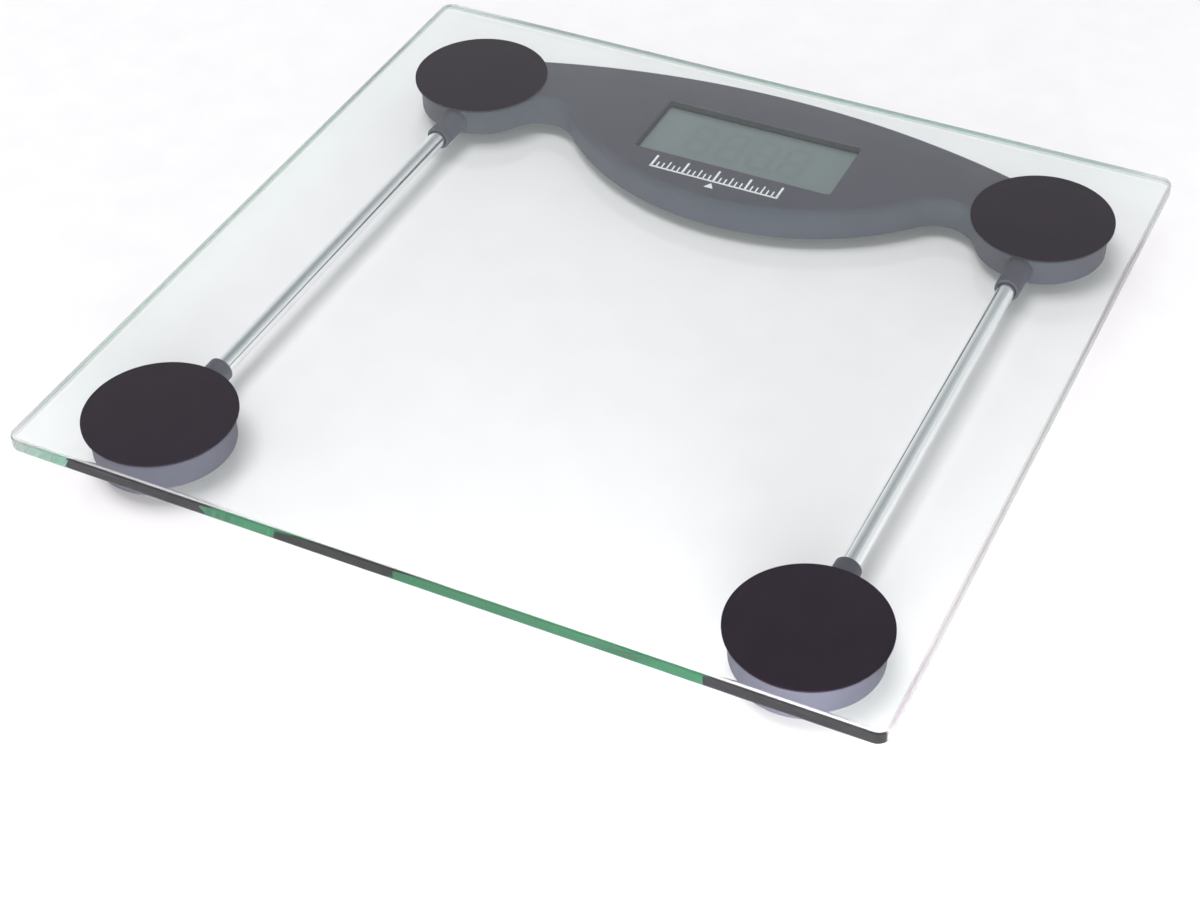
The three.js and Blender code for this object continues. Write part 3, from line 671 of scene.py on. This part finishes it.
def lcd_panel():
    low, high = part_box("lcd_panel")
    seam, ledge = high.z - 1.2 * MM, 3 * MM
    upper = stack("upper", chamfered(low.x, high.x, low.y, high.y, seam + 0.02 * MM, high.z, 0.15 * MM))
    lower = stack("lower", chamfered(low.x, high.x, low.y + ledge, high.y, low.z, seam, 0.15 * MM))
    level = high.z + 0.08 * MM
    film = stack("display_polariser", chamfered(low.x + 1.5 * MM, high.x - 1.5 * MM, low.y + ledge,
                                                high.y - 1 * MM, high.z, level, 0.03 * MM))
    piece(joined("display_glass", [upper, lower]), "scale", SCREEN, "display", "lcd_panel")
    piece(film, "scale", SCREEN, "display")
    height = 19 * MM
    step = height * 0.66
    base = WINDOW[2] - height / 2
    bars = [b for i in range(4) for b in digit_segments((i - 2) * step + 0.07 * height, base, height)]
    solids = [prism("bar", outline, level, level + 0.01 * MM) for outline in bars]
    point = circle(step - 0.01 * height, base + 0.06 * height, 0.05 * height, 16)
    solids.append(prism("point", point, level, level + 0.01 * MM))
    piece(joined("display_segments", solids), "scale", SEGMENTS, "display")


def chamfered(x0, x1, y0, y1, z0, z1, edge):
    """Rings for stack: a box with chamfered edges above and below."""
    def ring(inset, z):
        left, right, front, back = x0 + inset, x1 - inset, y0 + inset, y1 - inset
        return [(left, front), (right, front), (right, back), (left, back)], z
    return [ring(edge, z0), ring(0, z0 + edge), ring(0, z1 - edge), ring(edge, z1)]


# ---- Underside --------------------------------------------------------------------


def underside_cover():
    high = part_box("underside_cover")[1]
    door_low, door_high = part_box("battery_door")
    button = centre("unit_button")
    cell, radius = centre("battery_cell"), size("battery_cell").x / 2
    top = RIM + 1.6 * MM
    rings = [(bridge_outline(COVER_INSET + 0.3 * MM), RIM), (bridge_outline(COVER_INSET), RIM + 0.3 * MM),
             (bridge_outline(COVER_INSET), top)]
    obj = boolean(stack("bridge_cover", rings), "INTERSECT",
                  box("clip", (-high.x, 0, RIM - MM), (high.x, 0.2, top + MM)))
    half_x, half_y = 13 * MM, 15.2 * MM
    block = box("block", (cell.x - half_x, cell.y - half_y, top - 0.5 * MM),
                (cell.x + half_x, cell.y + half_y, high.z))
    boolean(block, "INTERSECT", prism("inside", bridge_outline(WALL + 0.3 * MM), RIM, TOP))
    weld(obj, block)
    cut(obj, prism("well", circle(cell.x, cell.y, radius + 0.9 * MM, 64), RIM, high.z - 0.8 * MM))
    gap, peg = 0.35 * MM, 0.8 * MM
    cut(obj, box("mouth", (door_low.x + peg - gap, door_low.y - gap, RIM - MM),
                 (door_high.x - peg + gap, door_high.y + gap, top)))
    hinge = door_hinge()
    cut(obj, hinge_rod(hinge, (door_high.x - door_low.x) / 2 + gap, 0.85 * MM))
    cut(obj, box("tail", (cell.x - 14 * MM, cell.y - 2.5 * MM, RIM + 1.7 * MM),
                 (cell.x - 10 * MM, cell.y + 2.5 * MM, high.z - 0.8 * MM)))
    cut(obj, turned("button_hole", [(0, RIM - MM), (5.6 * MM, RIM - MM), (4.1 * MM, RIM + 0.5 * MM),
                                    (4.1 * MM, top + MM), (0, top + MM)], (button.x, button.y), 64))
    for side in SIDES:
        for at in screw_places("cover", side):
            weld(obj, prism("cup", circle(at.x, at.y, 4 * MM, 48), RIM + 0.5 * MM, RIM + 3.4 * MM))
            profile = [(0, RIM - MM), (3.6 * MM, RIM - MM), (2.7 * MM, RIM + 0.4 * MM),
                       (2.7 * MM, RIM + 2.2 * MM), (1.3 * MM, RIM + 2.2 * MM),
                       (1.3 * MM, RIM + 4 * MM), (0, RIM + 4 * MM)]
            cut(obj, turned("seat", profile, (at.x, at.y), 48))
    return piece(obj, "scale", UNDER_PLASTIC, "underside_plastic", "underside_cover", angle=30)


def door_hinge():
    """The point on the battery door's axis that its joint turns about."""
    return next(j for j in frame["joints"] if j["name"] == "battery_door_hinge")["pos_m"]


def hinge_rod(at, half, radius):
    """A round rod along X, reaching half to either side of at."""
    obj = turned("rod", [(0, -half), (radius, -half), (radius, half), (0, half)], count=32)
    obj.data.transform(Matrix.Translation(at) @ Matrix.Rotation(math.radians(90), 4, "Y"))
    return obj


def battery_door():
    low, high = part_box("battery_door")
    peg = 0.8 * MM
    x0, x1 = low.x + peg, high.x - peg
    hinge = door_hinge()
    obj = stack("battery_lid", chamfered(x0, x1, low.y, hinge[1], low.z, high.z, 0.2 * MM))
    radius = (high.z - low.z) / 2
    half, middle = (x1 - x0) / 2, (x0 + x1) / 2
    weld(obj, hinge_rod(hinge, half, radius), hinge_rod(hinge, half + peg, radius - 0.05 * MM))
    for i in range(5):
        y = low.y + (2.2 + 1.5 * i) * MM
        outline = rounded_rectangle(middle, y, 9 * MM, 0.7 * MM, 0.34 * MM, 5)
        cut(obj, prism("groove", outline, low.z - MM, low.z + 0.4 * MM))
    for sign in (-1, 1):
        x, slit = middle + sign * 5.6 * MM, 0.25 * MM
        cut(obj, box("slit", (x - slit, low.y - MM, low.z - MM), (x + slit, low.y + 9.5 * MM, high.z + MM)))
    tip, base = low.y + 12 * MM, low.y + 15 * MM
    arrow = [(middle, tip), (middle + 2 * MM, base), (middle - 2 * MM, base)]
    cut(obj, prism("arrow", arrow, low.z - MM, low.z + 0.3 * MM))
    return piece(obj, "battery_door", UNDER_PLASTIC, "underside_plastic", "battery_door")


def battery_cell():
    low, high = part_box("battery_cell")
    at, radius = centre("battery_cell"), (high.x - low.x) / 2
    profile = soften([(0, low.z), (radius, low.z), (radius, high.z - 0.8 * MM),
                      (9.4 * MM, high.z - 0.5 * MM), (9.0 * MM, high.z - 0.55 * MM), (8.8 * MM, high.z),
                      (0, high.z)], 0.3 * MM)
    obj = turned("coin_cell", profile, (at.x, at.y), 96)
    return piece(obj, "scale", STEEL, "cell_steel", "battery_cell")


def unit_button():
    low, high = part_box("unit_button")
    at = centre("unit_button")
    cap, flange, flange_low = 3.8 * MM, 4.8 * MM, high.z - 0.5 * MM
    profile = [(0, low.z + 0.25 * MM), (1.6 * MM, low.z + 0.2 * MM), (3.3 * MM, low.z),
               (cap, low.z + 0.4 * MM), (cap, flange_low), (flange, flange_low), (flange, high.z),
               (0, high.z)]
    obj = turned("unit_push_button", soften(profile, 0.2 * MM), (at.x, at.y), 64)
    return piece(obj, "unit_button", BLACK, "black_plastic", "unit_button")


def screw(node, name):
    """A pan head with a cross recess, on a threaded shank."""
    low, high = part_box(node)
    at, radius = centre(node), (high.y - low.y) / 2
    cover = node.startswith("cover")
    head, shank = (1.5 * MM, 1.1 * MM) if cover else (1.2 * MM, 0.9 * MM)
    seat = low.z + head
    profile = soften([(0, low.z), (radius * 0.7, low.z + 0.08 * MM), (radius, low.z + 0.6 * MM),
                      (radius, seat)], 0.3 * MM) + [(shank * 0.8, seat)]
    turns = int((high.z - 1 * MM - seat) / (0.55 * MM))
    for i in range(turns):
        z = seat + (0.3 + 0.55 * i) * MM
        profile += [(shank * 0.78, z), (shank, z + 0.22 * MM), (shank * 0.78, z + 0.44 * MM)]
    profile += [(shank * 0.6, high.z - 0.4 * MM), (0, high.z)]
    obj = turned(name, profile, (at.x, at.y), 32)
    arm, half = radius * 0.58, radius * 0.13
    for dx, dy in ((arm, half), (half, arm)):
        cut(obj, box("recess", (at.x - dx, at.y - dy, low.z - MM),
                     (at.x + dx, at.y + dy, low.z + 0.7 * MM)))
    return piece(obj, "scale", STEEL, "screw_steel", node)


# ---- Feet ------------------------------------------------------------------------


def foot_carrier(foot):
    low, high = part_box(f"foot_carrier_{foot}")
    at = FOOT_AT[foot].x, FOOT_AT[foot].y
    radius, pad = (high.y - low.y) / 2, size(f"foot_pad_{foot}").y / 2 + 0.3 * MM
    base = 17 * MM
    outside = [(0, 2.5 * MM), (pad, 2.5 * MM), (pad, low.z), (base, low.z), (base, 3.6 * MM),
               (radius - 1.6 * MM, 3.6 * MM), (radius - 1.4 * MM, 3.9 * MM), (radius, 4.4 * MM),
               (radius, 9 * MM)]
    inside = [(radius - 1.5 * MM, 9 * MM), (radius - 1.5 * MM, 4.6 * MM), (0, 4.4 * MM)]
    obj = turned(f"foot_dish_{foot}", soften(outside + inside, 0.35 * MM), at, 128)
    reach = 10.5 * MM
    for sx in (-1, 1):
        for sy in (-1, 1):
            post = circle(at[0] + sx * reach, at[1] + sy * reach, 2.2 * MM, 32)
            weld(obj, prism("post", post, 4.2 * MM, high.z))
    for i in range(3):
        angle = math.radians(90 + 120 * i)
        x, y = at[0] + 19 * MM * math.cos(angle), at[1] + 19 * MM * math.sin(angle)
        window = rounded_rectangle(0, 0, 3 * MM, 1.6 * MM, 0.5 * MM, 4)
        cos, sin = math.cos(angle - math.pi / 2), math.sin(angle - math.pi / 2)
        outline = [(x + u * cos - v * sin, y + u * sin + v * cos) for u, v in window]
        cut(obj, prism("catch", outline, low.z - MM, 5 * MM))
    return piece(obj, f"foot_{foot}", UNDER_PLASTIC, "underside_plastic", f"foot_carrier_{foot}", angle=30)


def foot_pad(foot):
    """A rubber pad with rings moulded into its face."""
    low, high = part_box(f"foot_pad_{foot}")
    at, radius = (FOOT_AT[foot].x, FOOT_AT[foot].y), size(f"foot_pad_{foot}").y / 2
    profile = [(0, low.z + 0.5 * MM), (3.0 * MM, low.z + 0.5 * MM)]
    for inner in (3.2, 6.4, 9.6):
        profile += [(inner * MM, low.z), ((inner + 2.2) * MM, low.z),
                    ((inner + 2.4) * MM, low.z + 0.45 * MM), ((inner + 3.0) * MM, low.z + 0.45 * MM)]
    profile += [(12.8 * MM, low.z), (radius - 0.7 * MM, low.z), (radius, low.z + 0.8 * MM),
                (radius, high.z), (0, high.z)]
    obj = turned(f"rubber_foot_{foot}", soften(profile, 0.18 * MM, 3), at, 96)
    return piece(obj, f"foot_{foot}", RUBBER, "black_rubber", f"foot_pad_{foot}")


# ---- Carried CAD nodes --------------------------------------------------------------


def dress(node, material):
    """A CAD node that keeps its shape, but for eased edges, and gets a finished material."""
    obj = frame["nodes"][node]
    obj.data.materials.clear()
    obj.data.materials.append(material)
    modifier = obj.modifiers.new("edges", "BEVEL")
    modifier.width, modifier.segments, modifier.limit_method = 0.08 * MM, 2, "ANGLE"


def carried_nodes():
    dress("battery_contact_negative", BRASS)
    dress("battery_contact_positive", BRASS)
    dress("unit_switch", BLACK)
    dress("lcd_holder", BLACK)
    dress("zebra_strip", RUBBER)
    dress("circuit_board", BOARD_GREEN)
    dress("chip_blob", BLACK)
    for foot in FEET:
        dress(f"load_cell_{foot}", CELL_STEEL)
        dress(f"strain_gauge_{foot}", SILICONE)
        dress(f"load_cell_lead_{foot}", LEAD_GREY)


# ---- Stage ---------------------------------------------------------------------------


def make_camera():
    """The viewpoint, above and to the right of the front edge, with a slight tilt of the horizon."""
    data = bpy.data.cameras.new("camera")
    data.sensor_width, data.lens = 36, 67.4
    data.shift_x, data.shift_y = -0.0318, 0.0208
    data.clip_start, data.clip_end = 0.01, 50
    cam = bpy.data.objects.new("camera", data)
    azimuth, elevation, roll = math.radians(26.18), math.radians(42.85), math.radians(1.09)
    back = Vector((math.sin(azimuth) * math.cos(elevation), -math.cos(azimuth) * math.cos(elevation),
                   math.sin(elevation)))
    cam.rotation_mode = "QUATERNION"
    level = (-back).to_track_quat("-Z", "Y").to_matrix()
    cam.rotation_quaternion = (Matrix.Rotation(-roll, 3, back) @ level).to_quaternion()
    cam.location = Vector((270.6 * MM, -543.3 * MM, PLATE_HIGH.z + 476.8 * MM))
    bpy.context.scene.collection.objects.link(cam)
    bpy.context.scene.camera = cam


def area_light(name, at, target, width, power, height=None, mirrored=False):
    data = bpy.data.lights.new(name, "AREA")
    data.shape, data.size, data.size_y, data.energy = "ELLIPSE", width, height or width, power
    light = bpy.data.objects.new(name, data)
    light.location = at
    light.rotation_mode = "QUATERNION"
    light.rotation_quaternion = (Vector(target) - Vector(at)).to_track_quat("-Z", "Y")
    light.visible_glossy = light.visible_transmission = mirrored
    light.visible_camera = False
    bpy.context.scene.collection.objects.link(light)


def studio_world():
    """A white room that darkens towards its ceiling."""
    world = bpy.data.worlds.new("studio")
    world.use_nodes = True
    tree = world.node_tree
    direction = tree.nodes.new("ShaderNodeTexCoord")
    split = tree.nodes.new("ShaderNodeSeparateXYZ")
    tree.links.new(direction.outputs["Generated"], split.inputs["Vector"])
    shade_of = ramp(tree, split.outputs["Z"], (1, 1, 1, 1), (0.26, 0.25, 0.29, 1), 0.35, 0.85)
    tree.links.new(shade_of, tree.nodes["Background"].inputs["Color"])
    tree.nodes["Background"].inputs["Strength"].default_value = ROOM_LIGHT
    bpy.context.scene.world = world


def stage():
    floor_material = surface("pale_floor", (0.87, 0.87, 0.87, 1), (0.89, 0.89, 0.89, 1), (0.8, 0.9),
                             (40, 0.05, MM))
    floor = prism("floor", circle(0, 0, 12, 96), -0.02, -0.0001)
    floor.data.materials.append(floor_material)
    area_light("key", (-0.9, 1.9, 2.6), (0, 0, 0), 0.3, KEY_POWER)
    area_light("fill", (0.35, -1.0, 0.35), (0, 0, 0), 0.8, FILL_POWER)
    area_light("low", (0.2, -0.38, 0.035), (0.05, 0, 0.03), 0.4, LOW_POWER, height=0.05)
    area_light("overhead", (-0.5, -0.4, 3), (0, 0, 0), 1.8, OVERHEAD_POWER)
    area_light("mirrored", (-0.5, -0.4, 3.1), (0, 0, 0), 1.8, MIRRORED_POWER, mirrored=True)
    studio_world()
    scene = bpy.context.scene
    scene.view_settings.view_transform = "Standard"
    # Light runs the length of the glass sheet, reflected from face to face, before it shows in the edge.
    scene.cycles.max_bounces = scene.cycles.glossy_bounces = scene.cycles.transmission_bounces = 72
    scene.cycles.transparent_max_bounces = 24


# ---- The whole --------------------------------------------------------------------------

make_camera()
stage()
glass_platform()
display_housing()
printed_scale()
shade_lining()
lcd_panel()
underside_cover()
battery_door()
battery_cell()
unit_button()
for side in SIDES:
    front_foot_housing(side)
    connecting_tube(side)
for foot in FEET:
    bonding_disc(foot)
    foot_carrier(foot)
    foot_pad(foot)
for node in sorted(n for n in frame["nodes"] if n.startswith(("cover_screw", "board_screw"))):
    screw(node, node.replace("screw", "fastener"))
carried_nodes()
